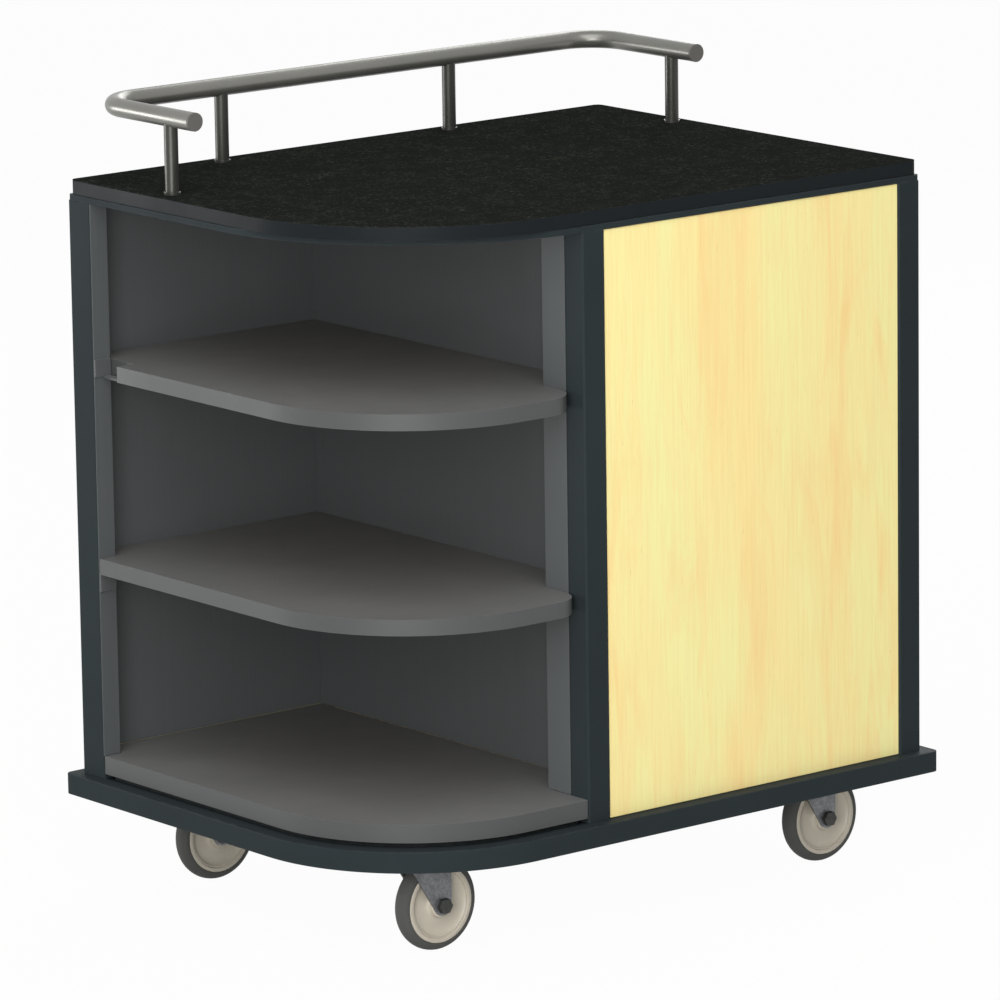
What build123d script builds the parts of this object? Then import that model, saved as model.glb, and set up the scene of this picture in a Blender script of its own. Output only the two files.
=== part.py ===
from build123d import *
import os
from math import cos, radians

os.makedirs("parts", exist_ok=True)

# Frame: +X is to the right seen from the front, the front faces -Y, +Z is up.
# The origin is on the floor, under the middle of the base.

# Cabinet, measured over its corner posts
CABINET_WIDTH = 935.0
CABINET_DEPTH = 681.0
CORNER_RADIUS = 235.0
SMALL_CORNER = 6.0
QUARTER_TURN = 90

# Base: a plate with a skirt bent down round its edge
BASE_OVERHANG = 18.5
BASE_BOTTOM = 128.5
BASE_TOP = 157.5
BASE_PLATE_THICKNESS = 4.0
SKIRT_THICKNESS = 4.0

# Posts and the flat frame that ties their tops together
POST_SIZE = 38.0
POST_WALL = 2.0
LEFT_POST_WIDTH = 26.0
LEFT_POST_DEPTH = 48.5
FRAME_BOTTOM = 957.0
FRAME_THICKNESS = 8.0
FRAME_BAR_WIDTH = 38.0
FRAME_CORNER_RADIUS = 330.0

# Counter
COUNTER_INSET = 2.0
COUNTER_THICKNESS = 20.0
COUNTER_CORNER_RADIUS = 280.0
COUNTER_SMALL_CORNER = 10.0
LAMINATE_THICKNESS = 1.0
BAND_THICKNESS = 1.5

# Maple boards, the partition and the lining of the open compartment
BOARD_THICKNESS = 16.0
PANEL_RECESS = 2.0
PANEL_REVEAL = 0.8
REAR_PANEL_THICKNESS = 6.0
MIDDLE_POST_LEFT = -129.0
PARTITION_FACE = -60.0
SHEET = 1.5
JAMB_DEPTH = 47.0

# Open shelves
DECK_HEIGHT = 32.5
DECK_FOOT_HEIGHT = 7.5
DECK_FOOT_INSET = 8.0
SHELF_THICKNESS = 22.0
LOWER_SHELF_BOTTOM = 445.0
UPPER_SHELF_BOTTOM = 719.0
SHELF_SKIN = 1.2
SHELF_GAP = 0.6
LOWER_SHELF_NOSE = 46.0
UPPER_SHELF_NOSE = 55.0
UPPER_SHELF_SETBACK = 51.0
CLEAT_LEG = 20.0
CLEAT_THICKNESS = 2.0
CLEAT_END_GAP = 24.0
BRACKET_THICKNESS = 3.0
BRACKET_HEIGHT = 24.0
BRACKET_ARM = 88.0
BRACKET_ARM_WIDTH = 12.0

# Closed cabinet
CABINET_FLOOR_THICKNESS = 18.0
INNER_SHELF_TOP = 560.0
INNER_SHELF_THICKNESS = 18.0
INNER_SHELF_GAP = 1.5
INNER_SHELF_SETBACK = 25.0
CLIP_PIN_DIAMETER = 5.0
CLIP_PIN_DEPTH = 10.0
CLIP_TONGUE = 12.0
CLIP_THICKNESS = 3.0
CLIP_INSET = 60.0

# Rear door
DOOR_GAP = 2.0
HINGE_HEIGHT = 64.0
HINGE_LEAF_WIDTH = 30.0
HINGE_LEAF_THICKNESS = 2.0
HINGE_KNUCKLE_DIAMETER = 9.0
HINGE_PIN_DIAMETER = 5.0
HINGE_PIN_HEAD = 2.0
HINGE_PIN_CLEARANCE = 0.08
HINGE_KNUCKLE_GAP = 0.3
HINGE_KNUCKLES = 5
HINGE_END_OFFSET = 110.0
PULL_LENGTH = 110.0
PULL_WIDTH = 50.0
PULL_DEPTH = 12.0
PULL_SHEET = 1.2
PULL_FLANGE = 6.0
PULL_EDGE_OFFSET = 60.0
PULL_HEIGHT = 640.0
CATCH_LENGTH = 46.0
CATCH_WIDTH = 14.0
CATCH_DEPTH = 15.0
CATCH_DROP = 57.0
STRIKE_THICKNESS = 1.0
CATCH_GAP = 0.3

# Guard rail on the counter
RAIL_DIAMETER = 25.4
RAIL_WALL = 1.6
RAIL_INSET = 30.0
RAIL_CENTRE_HEIGHT = 103.5
RAIL_BEND = 60.0
RAIL_RETURN_END = 91.0
RAIL_POST_DIAMETER = 19.0
RAIL_BACK_POSTS_X = (-228.0, 170.0)
RAIL_SIDE_POSTS_Y = 143.0
FLANGE_DIAMETER = 23.0
FLANGE_THICKNESS = 3.0
CAP_THICKNESS = 3.0
CAP_PLUG_DEPTH = 12.0

# Casters
WHEEL_DIAMETER = 127.0
WHEEL_WIDTH = 26.0
WHEEL_CORE_DIAMETER = 105.0
CASTER_INSET_X = 126.5
CASTER_INSET_Y = 96.5
SWIVEL_TRAIL = 24.0
CASTER_PLATE_LENGTH = 95.0
CASTER_PLATE_WIDTH = 67.0
CASTER_PLATE_THICKNESS = 3.0
RACE_DIAMETER = 56.0
RACE_HEIGHT = 10.0
SWIVEL_GAP = 0.3
KINGPIN_DIAMETER = 12.0
KINGPIN_HEAD_DIAMETER = 20.0
KINGPIN_HEAD_THICKNESS = 3.0
RUNNING_CLEARANCE = 0.08
FORK_THICKNESS = 3.0
FORK_SIDE_GAP = 2.5
FORK_LEG_TOP_WIDTH = 76.0
FORK_LEG_BOTTOM_RADIUS = 14.0
AXLE_DIAMETER = 12.0
BUSH_WALL = 3.0
BOSS_WALL = 8.0
BOSS_END_GAP = 0.3
WEB_THICKNESS = 14.0
RIM_THICKNESS = 7.0
TYRE_EDGE_RADIUS = 9.5
HEX_SIDES = 6
HEX_ACROSS_FLATS = 19.0
HEX_HEAD_THICKNESS = 7.0
CASTER_BOLT_DIAMETER = 8.0
CASTER_BOLT_HEAD_DIAMETER = 15.0
CASTER_BOLT_HEAD_THICKNESS = 5.0
CASTER_BOLT_SPACING_X = 76.0
CASTER_BOLT_SPACING_Y = 48.0

# Levels and places that follow from the sizes above
LEFT = -CABINET_WIDTH / 2
RIGHT = CABINET_WIDTH / 2
FRONT = -CABINET_DEPTH / 2
REAR = CABINET_DEPTH / 2
PLATE_BOTTOM = BASE_TOP - BASE_PLATE_THICKNESS
FRAME_TOP = FRAME_BOTTOM + FRAME_THICKNESS
COUNTER_TOP = FRAME_TOP + COUNTER_THICKNESS
DECK_TOP = BASE_TOP + DECK_HEIGHT
DECK_SHEET_BOTTOM = BASE_TOP + DECK_FOOT_HEIGHT
DECK_NOSE = SHELF_SKIN + 2 * SHELF_GAP
LINER_BACK_FACE = REAR - REAR_PANEL_THICKNESS - SHEET
LEFT_JAMB_RIGHT = LEFT + LEFT_POST_WIDTH
LEFT_JAMB_FACE = REAR - LEFT_POST_DEPTH
MIDDLE_POST_RIGHT = MIDDLE_POST_LEFT + POST_SIZE
MIDDLE_POST_BACK = FRONT + POST_SIZE
RIGHT_JAMB_BACK = MIDDLE_POST_BACK + JAMB_DEPTH
BOARD_LEFT = PARTITION_FACE + SHEET
BOARD_RIGHT = BOARD_LEFT + BOARD_THICKNESS
REAR_POST_RIGHT = BOARD_LEFT + POST_SIZE
RIGHT_POST_LEFT = RIGHT - POST_SIZE
PANEL_BACK = FRONT + PANEL_RECESS + BOARD_THICKNESS
SIDE_PANEL_LEFT = RIGHT - PANEL_RECESS - BOARD_THICKNESS
DOOR_INNER_FACE = REAR - BOARD_THICKNESS
HINGE_X = RIGHT_POST_LEFT - DOOR_GAP / 2
HINGE_Y = REAR + HINGE_KNUCKLE_DIAMETER / 2
RAIL_CENTRE = COUNTER_TOP + RAIL_CENTRE_HEIGHT
CASTER_X = RIGHT - CASTER_INSET_X
CASTER_Y = REAR - CASTER_INSET_Y
WHEEL_RADIUS = WHEEL_DIAMETER / 2
CROWN_TOP = PLATE_BOTTOM - CASTER_PLATE_THICKNESS - RACE_HEIGHT - SWIVEL_GAP
CROWN_BOTTOM = CROWN_TOP - FORK_THICKNESS
FORK_INNER = WHEEL_WIDTH / 2 + FORK_SIDE_GAP
FORK_OUTER = FORK_INNER + FORK_THICKNESS
BUSH_RADIUS = AXLE_DIAMETER / 2 + BUSH_WALL
BOSS_RADIUS = BUSH_RADIUS + BOSS_WALL
BOSS_HALF = FORK_INNER - BOSS_END_GAP
WEB_HALF = WEB_THICKNESS / 2
RIM_RADIUS = WHEEL_CORE_DIAMETER / 2 - RIM_THICKNESS


def write(name, *solids):
    """Save one named piece, or a group of separate pieces that share a name."""
    shape = solids[0] if len(solids) == 1 else Compound(children=list(solids))
    export_step(shape, f"parts/{name}.step")


def block(x_min, x_max, y_min, y_max, z_min, z_max):
    """A box given by its limits."""
    centre = Pos((x_min + x_max) / 2, (y_min + y_max) / 2, (z_min + z_max) / 2)
    return centre * Box(x_max - x_min, y_max - y_min, z_max - z_min)


def rectangle(x_min, x_max, y_min, y_max):
    """A flat rectangle given by its limits."""
    return Pos((x_min + x_max) / 2, (y_min + y_max) / 2) * Rectangle(x_max - x_min, y_max - y_min)


def upright(x, y, z_min, z_max, diameter):
    """A vertical cylinder."""
    return Pos(x, y, (z_min + z_max) / 2) * Cylinder(diameter / 2, z_max - z_min)


def crosswise(x, z, y_min, y_max, diameter):
    """A cylinder that lies along Y."""
    return Pos(x, (y_min + y_max) / 2, z) * Rot(QUARTER_TURN, 0, 0) * Cylinder(diameter / 2, y_max - y_min)


def plan(x_min, x_max, y_min, y_max, radii):
    """A flat outline with its own radius at the front left, front right, rear right and rear left."""
    corners = ((x_min, y_min), (x_max, y_min), (x_max, y_max), (x_min, y_max))
    edges = []
    ends = []
    for index, ((x, y), radius) in enumerate(zip(corners, radii)):
        centre_x = x + radius if x == x_min else x - radius
        centre_y = y + radius if y == y_min else y - radius
        arc = CenterArc((centre_x, centre_y), radius, (index + 2) * QUARTER_TURN, QUARTER_TURN)
        edges.append(arc)
        ends.append((arc @ 0, arc @ 1))
    for index, (_, end) in enumerate(ends):
        edges.append(Line(end, ends[(index + 1) % len(ends)][0]))
    return make_face(edges)


def slab(outline, z_min, z_max):
    """A flat outline given its thickness between two heights."""
    return extrude(Pos(0, 0, z_min) * outline, z_max - z_min)


def cabinet_plan(inset, front_left_radius, small_radius):
    """The cabinet's outline, moved inwards by the inset, or outwards where it is negative."""
    radii = (front_left_radius, small_radius, small_radius, small_radius)
    return plan(LEFT + inset, RIGHT - inset, FRONT + inset, REAR - inset, radii)


def base():
    """The base plate, and the skirt bent down round its edge."""
    outer = cabinet_plan(-BASE_OVERHANG, CORNER_RADIUS + BASE_OVERHANG, SMALL_CORNER + SKIRT_THICKNESS)
    inner = cabinet_plan(
        SKIRT_THICKNESS - BASE_OVERHANG,
        CORNER_RADIUS + BASE_OVERHANG - SKIRT_THICKNESS,
        SMALL_CORNER,
    )
    plate = slab(inner, PLATE_BOTTOM, BASE_TOP)
    for x, y in caster_places().values():
        for bolt_x, bolt_y in bolt_places(x, y):
            plate -= upright(bolt_x, bolt_y, PLATE_BOTTOM, BASE_TOP, CASTER_BOLT_DIAMETER)
    skirt = slab(outer, BASE_BOTTOM, BASE_TOP) - slab(inner, BASE_BOTTOM, BASE_TOP)
    write("base_plate", plate)
    write("base_skirt", skirt)


def tube_post(x_min, x_max, y_min, y_max):
    """A hollow corner post that stands on the base plate."""
    radii = (SMALL_CORNER / 2,) * 4
    outer = slab(plan(x_min, x_max, y_min, y_max, radii), BASE_TOP, FRAME_BOTTOM)
    hollow = rectangle(x_min + POST_WALL, x_max - POST_WALL, y_min + POST_WALL, y_max - POST_WALL)
    inner = slab(hollow, BASE_TOP, FRAME_BOTTOM)
    return outer - inner


def posts():
    """Five posts: four at the corners that have one, and one behind the partition."""
    write("left_rear_post", tube_post(LEFT, LEFT_JAMB_RIGHT, LEFT_JAMB_FACE, REAR))
    write("middle_front_post", tube_post(MIDDLE_POST_LEFT, MIDDLE_POST_RIGHT, FRONT, MIDDLE_POST_BACK))
    write("right_front_post", tube_post(RIGHT_POST_LEFT, RIGHT, FRONT, FRONT + POST_SIZE))
    write("right_rear_post", tube_post(RIGHT_POST_LEFT, RIGHT, REAR - POST_SIZE, REAR))
    write("middle_rear_post", tube_post(BOARD_LEFT, REAR_POST_RIGHT, REAR - POST_SIZE, REAR))


def top_frame():
    """A flat welded frame on the posts, with one bar across over the partition."""
    outer = cabinet_plan(0, FRAME_CORNER_RADIUS, SMALL_CORNER)
    inner = cabinet_plan(FRAME_BAR_WIDTH, FRAME_CORNER_RADIUS - FRAME_BAR_WIDTH, SMALL_CORNER)
    ring = slab(outer, FRAME_BOTTOM, FRAME_TOP) - slab(inner, FRAME_BOTTOM, FRAME_TOP)
    bar = block(
        PARTITION_FACE - FRAME_BAR_WIDTH / 2,
        PARTITION_FACE + FRAME_BAR_WIDTH / 2,
        FRONT + FRAME_BAR_WIDTH,
        REAR - FRAME_BAR_WIDTH,
        FRAME_BOTTOM,
        FRAME_TOP,
    )
    write("top_frame", ring + bar)


def counter():
    """The counter: a board, an edge band round it and a sheet of laminate on top."""
    outline = cabinet_plan(COUNTER_INSET, COUNTER_CORNER_RADIUS, COUNTER_SMALL_CORNER)
    core_outline = cabinet_plan(
        COUNTER_INSET + BAND_THICKNESS,
        COUNTER_CORNER_RADIUS - BAND_THICKNESS,
        COUNTER_SMALL_CORNER - BAND_THICKNESS,
    )
    laminate_bottom = COUNTER_TOP - LAMINATE_THICKNESS
    core = slab(core_outline, FRAME_TOP, laminate_bottom)
    write("counter_core", core)
    write("counter_edge_band", slab(outline, FRAME_TOP, laminate_bottom) - core)
    write("counter_laminate", slab(outline, laminate_bottom, COUNTER_TOP))


def panels():
    """The fixed outer boards, and the board behind the partition lining."""
    low = BASE_TOP + PANEL_REVEAL
    high = FRAME_BOTTOM - PANEL_REVEAL
    front = block(
        MIDDLE_POST_RIGHT + PANEL_REVEAL,
        RIGHT_POST_LEFT - PANEL_REVEAL,
        FRONT + PANEL_RECESS,
        PANEL_BACK,
        low,
        high,
    )
    write("front_panel", front)
    side = block(
        SIDE_PANEL_LEFT,
        RIGHT - PANEL_RECESS,
        FRONT + POST_SIZE + PANEL_REVEAL,
        REAR - POST_SIZE - PANEL_REVEAL,
        low,
        high,
    )
    board = block(BOARD_LEFT, BOARD_RIGHT, PANEL_BACK, REAR - POST_SIZE, BASE_TOP, FRAME_BOTTOM)
    for place in clip_places():
        side -= clip_pin(*place)
        board -= clip_pin(*place)
    write("right_panel", side)
    write("partition_board", board)
    rear = block(LEFT_JAMB_RIGHT, BOARD_LEFT, REAR - REAR_PANEL_THICKNESS, REAR, BASE_TOP, FRAME_BOTTOM)
    write("rear_panel", rear)


def lining_strip(x_min, x_max, y_min, y_max):
    """One flat part of the lining, as high as the open compartment."""
    return block(x_min, x_max, y_min, y_max, DECK_TOP, FRAME_BOTTOM)


def lining():
    """Two folded sheets line the open compartment, each with a jamb folded round a post."""
    left_edge = LEFT_JAMB_RIGHT + SHEET
    back_edge = LINER_BACK_FACE + SHEET
    back_wall = lining_strip(LEFT, left_edge, LEFT_JAMB_FACE - SHEET, LEFT_JAMB_FACE)
    back_wall += lining_strip(LEFT_JAMB_RIGHT, left_edge, LEFT_JAMB_FACE, back_edge)
    back_wall += lining_strip(LEFT_JAMB_RIGHT, PARTITION_FACE, LINER_BACK_FACE, back_edge)
    write("back_wall", back_wall)
    jamb_edge = MIDDLE_POST_LEFT + SHEET
    partition = lining_strip(MIDDLE_POST_LEFT, jamb_edge, MIDDLE_POST_BACK, RIGHT_JAMB_BACK)
    partition += lining_strip(MIDDLE_POST_LEFT, BOARD_LEFT, RIGHT_JAMB_BACK - SHEET, RIGHT_JAMB_BACK)
    partition += lining_strip(PARTITION_FACE, BOARD_LEFT, RIGHT_JAMB_BACK, back_edge)
    write("partition_face", partition)


def shelf_plan(inset, nose_radius, rear_left_setback):
    """An open shelf's outline: rounded at the corner, notched round the two jambs."""
    radii = (CORNER_RADIUS - inset, nose_radius - inset, SHELF_SKIN, SHELF_SKIN)
    back = LINER_BACK_FACE - inset
    narrow = plan(LEFT + inset, MIDDLE_POST_LEFT - inset, FRONT + inset, back, radii)
    wide = plan(LEFT + inset, PARTITION_FACE - inset, FRONT + inset, back, radii)
    behind_jamb = rectangle(LEFT, PARTITION_FACE, RIGHT_JAMB_BACK + inset, LINER_BACK_FACE)
    notch_front = LEFT_JAMB_FACE - SHEET - rear_left_setback - inset
    notch = rectangle(LEFT, LEFT_JAMB_RIGHT + SHEET + inset, notch_front, REAR)
    return narrow + (wide & behind_jamb) - notch


def clad_board(bottom, top, nose_radius, rear_left_setback):
    """A shelf's board, and the sheet over it that is turned down round its edges."""
    outer = shelf_plan(SHELF_GAP, nose_radius, rear_left_setback)
    inner = shelf_plan(SHELF_GAP + SHELF_SKIN, nose_radius, rear_left_setback)
    board = slab(inner, bottom, top - SHELF_SKIN)
    return board, slab(outer, bottom, top) - board


def open_shelves():
    """Two open shelves, and the bottom deck, whose board stands on a narrower foot."""
    shelves = (
        ("lower_shelf", LOWER_SHELF_BOTTOM, LOWER_SHELF_NOSE, 0),
        ("upper_shelf", UPPER_SHELF_BOTTOM, UPPER_SHELF_NOSE, UPPER_SHELF_SETBACK),
    )
    for name, bottom, nose_radius, setback in shelves:
        board, sheet = clad_board(bottom, bottom + SHELF_THICKNESS, nose_radius, setback)
        write(name + "_core", board)
        write(name, sheet)
    foot_inset = SHELF_GAP + SHELF_SKIN + DECK_FOOT_INSET
    foot = slab(shelf_plan(foot_inset, foot_inset + SHELF_SKIN, 0), BASE_TOP, DECK_SHEET_BOTTOM)
    board, sheet = clad_board(DECK_SHEET_BOTTOM, DECK_TOP, DECK_NOSE, 0)
    write("bottom_deck_core", board + foot)
    write("bottom_deck", sheet)


def cleat(x_min, x_max, y_min, y_max, bottom, inner_x_max, inner_y_max):
    """An angle under a shelf: a flat top leg, and a leg down against the wall."""
    foot = bottom - CLEAT_LEG
    angle = block(x_min, x_max, y_min, y_max, foot, bottom)
    return angle - block(x_min, inner_x_max, y_min, inner_y_max, foot, bottom - CLEAT_THICKNESS)


def shelf_supports():
    """Two angle cleats and one bracket on the left jamb carry each open shelf."""
    jamb_face = LEFT_JAMB_FACE - SHEET
    back_front = LINER_BACK_FACE - CLEAT_LEG
    side_left = PARTITION_FACE - CLEAT_LEG
    back_x_min = LEFT_JAMB_RIGHT + SHEET + CLEAT_END_GAP
    back_x_max = side_left - CLEAT_END_GAP
    side_y_min = RIGHT_JAMB_BACK + CLEAT_END_GAP
    side_y_max = back_front - CLEAT_END_GAP
    back_inner = LINER_BACK_FACE - CLEAT_THICKNESS
    side_inner = PARTITION_FACE - CLEAT_THICKNESS
    shelf_and_lug_bottoms = (
        (LOWER_SHELF_BOTTOM, LOWER_SHELF_BOTTOM - BRACKET_HEIGHT),
        (UPPER_SHELF_BOTTOM, UPPER_SHELF_BOTTOM),
    )
    solids = []
    for bottom, lug_low in shelf_and_lug_bottoms:
        back_limits = (back_x_min, back_x_max, back_front, LINER_BACK_FACE)
        side_limits = (side_left, PARTITION_FACE, side_y_min, side_y_max)
        solids.append(cleat(*back_limits, bottom, back_x_max, back_inner))
        solids.append(cleat(*side_limits, bottom, side_inner, side_y_max))
        arm_low = bottom - BRACKET_THICKNESS
        arm_left = LEFT_JAMB_RIGHT - BRACKET_ARM_WIDTH
        bracket = block(arm_left, LEFT_JAMB_RIGHT, jamb_face - BRACKET_ARM, jamb_face, arm_low, bottom)
        lug_front = jamb_face - BRACKET_THICKNESS
        bracket += block(LEFT, LEFT_JAMB_RIGHT, lug_front, jamb_face, lug_low, lug_low + BRACKET_HEIGHT)
        solids.append(bracket)
    write("shelf_supports", *solids)


def clip_places():
    """Where the closed cabinet's shelf clips sit: height, Y, wall X and the way inwards."""
    pin_z = INNER_SHELF_TOP - INNER_SHELF_THICKNESS - CLIP_THICKNESS / 2
    for y in (FRONT + POST_SIZE + CLIP_INSET, REAR - POST_SIZE - INNER_SHELF_SETBACK - CLIP_INSET):
        yield pin_z, y, BOARD_RIGHT, 1
        yield pin_z, y, SIDE_PANEL_LEFT, -1


def clip_pin(pin_z, y, wall, inward):
    """The round pin of a shelf clip, which is also the hole it sits in."""
    rod = Rot(0, QUARTER_TURN, 0) * Cylinder(CLIP_PIN_DIAMETER / 2, CLIP_PIN_DEPTH)
    return Pos(wall - inward * CLIP_PIN_DEPTH / 2, y, pin_z) * rod


def closed_cabinet():
    """The floor, the loose shelf and the shelf clips behind the maple front."""
    floor_top = BASE_TOP + CABINET_FLOOR_THICKNESS
    outline = rectangle(BOARD_RIGHT, SIDE_PANEL_LEFT, PANEL_BACK, REAR - POST_SIZE)
    outline -= rectangle(RIGHT_POST_LEFT, SIDE_PANEL_LEFT, PANEL_BACK, FRONT + POST_SIZE)
    doorway_edge = DOOR_INNER_FACE - DOOR_GAP
    outline += rectangle(REAR_POST_RIGHT, RIGHT_POST_LEFT, REAR - POST_SIZE, doorway_edge)
    write("cabinet_floor", slab(outline, BASE_TOP, floor_top))
    under = INNER_SHELF_TOP - INNER_SHELF_THICKNESS
    shelf = block(
        BOARD_RIGHT + INNER_SHELF_GAP,
        SIDE_PANEL_LEFT - INNER_SHELF_GAP,
        FRONT + POST_SIZE + INNER_SHELF_GAP,
        REAR - POST_SIZE - INNER_SHELF_SETBACK,
        under,
        INNER_SHELF_TOP,
    )
    write("cabinet_shelf", shelf)
    clips = []
    for pin_z, y, wall, inward in clip_places():
        x_ends = sorted((wall, wall + inward * CLIP_TONGUE))
        half = CLIP_TONGUE / 2
        tongue = block(*x_ends, y - half, y + half, under - CLIP_THICKNESS, under)
        clips.append(tongue + clip_pin(pin_z, y, wall, inward))
    write("cabinet_shelf_clips", *clips)


def rear_door():
    """The closed cabinet's door, the cup pull sunk in it, and the magnetic catch that holds it shut."""
    door = block(
        REAR_POST_RIGHT + DOOR_GAP,
        RIGHT_POST_LEFT - DOOR_GAP,
        DOOR_INNER_FACE,
        REAR,
        BASE_TOP + DOOR_GAP,
        FRAME_BOTTOM - DOOR_GAP,
    )
    pull_x = REAR_POST_RIGHT + DOOR_GAP + PULL_EDGE_OFFSET
    cup = Pos(pull_x, REAR - PULL_DEPTH / 2, PULL_HEIGHT) * Box(PULL_WIDTH, PULL_DEPTH, PULL_LENGTH)
    flange = Pos(pull_x, REAR + PULL_SHEET / 2, PULL_HEIGHT)
    flange *= Box(PULL_WIDTH + 2 * PULL_FLANGE, PULL_SHEET, PULL_LENGTH + 2 * PULL_FLANGE)
    hollow = Pos(pull_x, REAR + PULL_SHEET - PULL_DEPTH / 2, PULL_HEIGHT)
    hollow *= Box(PULL_WIDTH - 2 * PULL_SHEET, PULL_DEPTH, PULL_LENGTH - 2 * PULL_SHEET)
    write("rear_door", door - cup)
    write("door_pull", cup + flange - hollow)
    catch_high = FRAME_BOTTOM - CATCH_DROP + CATCH_LENGTH / 2
    catch_low = catch_high - CATCH_LENGTH
    strike_face = DOOR_INNER_FACE - STRIKE_THICKNESS
    catch_front = strike_face - CATCH_GAP
    catch_outline = rectangle(
        REAR_POST_RIGHT, REAR_POST_RIGHT + CATCH_WIDTH, catch_front - CATCH_DEPTH, catch_front
    )
    write("door_catch", slab(catch_outline, catch_low, catch_high))
    strike = block(
        REAR_POST_RIGHT + DOOR_GAP + STRIKE_THICKNESS,
        REAR_POST_RIGHT + CATCH_WIDTH - STRIKE_THICKNESS,
        strike_face,
        DOOR_INNER_FACE,
        catch_low + STRIKE_THICKNESS,
        catch_high - STRIKE_THICKNESS,
    )
    write("door_strike", strike)


def hinge_leaf(z_low, knuckles, side, bore):
    """One leaf of a butt hinge with its own knuckles, reaching left or right of the pin."""
    knuckle_radius = HINGE_KNUCKLE_DIAMETER / 2
    step = (HINGE_HEIGHT + HINGE_KNUCKLE_GAP) / HINGE_KNUCKLES
    leaf_start = HINGE_X + side * (knuckle_radius + HINGE_KNUCKLE_GAP)
    leaf_end = HINGE_X + side * HINGE_LEAF_WIDTH
    face = REAR + HINGE_LEAF_THICKNESS
    leaf = block(*sorted((leaf_start, leaf_end)), REAR, face, z_low, z_low + HINGE_HEIGHT)
    for index in knuckles:
        low = z_low + index * step
        high = low + step - HINGE_KNUCKLE_GAP
        leaf += block(*sorted((HINGE_X, leaf_start)), REAR, face, low, high)
        leaf += upright(HINGE_X, HINGE_Y, low, high, HINGE_KNUCKLE_DIAMETER)
    return leaf - upright(HINGE_X, HINGE_Y, z_low, z_low + HINGE_HEIGHT, bore)


def hinges():
    """Two butt hinges: one leaf of each on the post, the other on the door, and a pin."""
    post_leaves = []
    door_leaves = []
    pins = []
    for centre in (BASE_TOP + HINGE_END_OFFSET, FRAME_BOTTOM - HINGE_END_OFFSET):
        low = centre - HINGE_HEIGHT / 2
        high = centre + HINGE_HEIGHT / 2
        loose_bore = HINGE_PIN_DIAMETER + 2 * HINGE_PIN_CLEARANCE
        post_leaves.append(hinge_leaf(low, range(0, HINGE_KNUCKLES, 2), 1, HINGE_PIN_DIAMETER))
        door_leaves.append(hinge_leaf(low, range(1, HINGE_KNUCKLES, 2), -1, loose_bore))
        pin = upright(HINGE_X, HINGE_Y, low, high, HINGE_PIN_DIAMETER)
        pin += upright(HINGE_X, HINGE_Y, high, high + HINGE_PIN_HEAD, HINGE_KNUCKLE_DIAMETER)
        pins.append(pin)
    write("hinge_post_leaves", *post_leaves)
    write("hinge_door_leaves", *door_leaves)
    write("hinge_pins", *pins)


def guard_rail():
    """A bent tube on four posts round the back of the counter, with a cap in each end."""
    side_x = RIGHT - RAIL_INSET
    back_y = REAR - RAIL_INSET
    corners = (
        (-side_x, RAIL_RETURN_END, RAIL_CENTRE),
        (-side_x, back_y, RAIL_CENTRE),
        (side_x, back_y, RAIL_CENTRE),
        (side_x, RAIL_RETURN_END, RAIL_CENTRE),
    )
    path = FilletPolyline(*corners, radius=RAIL_BEND)
    end_plane = Plane(path @ 0, z_dir=path % 0)
    outer = sweep(end_plane * Circle(RAIL_DIAMETER / 2), path)
    inner = sweep(end_plane * Circle(RAIL_DIAMETER / 2 - RAIL_WALL), path)
    write("guard_rail", outer - inner)
    posts_at = [(x, back_y) for x in RAIL_BACK_POSTS_X]
    posts_at += [(x, RAIL_SIDE_POSTS_Y) for x in (-side_x, side_x)]
    rail_posts = []
    for x, y in posts_at:
        post = upright(x, y, COUNTER_TOP, RAIL_CENTRE, RAIL_POST_DIAMETER)
        post += upright(x, y, COUNTER_TOP, COUNTER_TOP + FLANGE_THICKNESS, FLANGE_DIAMETER)
        rail_posts.append(post - outer)
    write("guard_rail_posts", *rail_posts)
    caps = []
    for x in (-side_x, side_x):
        cap = crosswise(x, RAIL_CENTRE, RAIL_RETURN_END - CAP_THICKNESS, RAIL_RETURN_END, RAIL_DIAMETER)
        plug_diameter = RAIL_DIAMETER - 2 * RAIL_WALL
        cap += crosswise(x, RAIL_CENTRE, RAIL_RETURN_END, RAIL_RETURN_END + CAP_PLUG_DEPTH, plug_diameter)
        caps.append(cap)
    write("guard_rail_end_caps", *caps)


def caster_places():
    """The four swivel axes, named by corner."""
    return {
        "front_left": (-CASTER_X, -CASTER_Y),
        "front_right": (CASTER_X, -CASTER_Y),
        "rear_left": (-CASTER_X, CASTER_Y),
        "rear_right": (CASTER_X, CASTER_Y),
    }


def bolt_places(x, y):
    """The four bolt holes of the caster plate whose middle is at x and y."""
    for side in (-1, 1):
        for end in (-1, 1):
            yield x + side * CASTER_BOLT_SPACING_X / 2, y + end * CASTER_BOLT_SPACING_Y / 2


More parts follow.
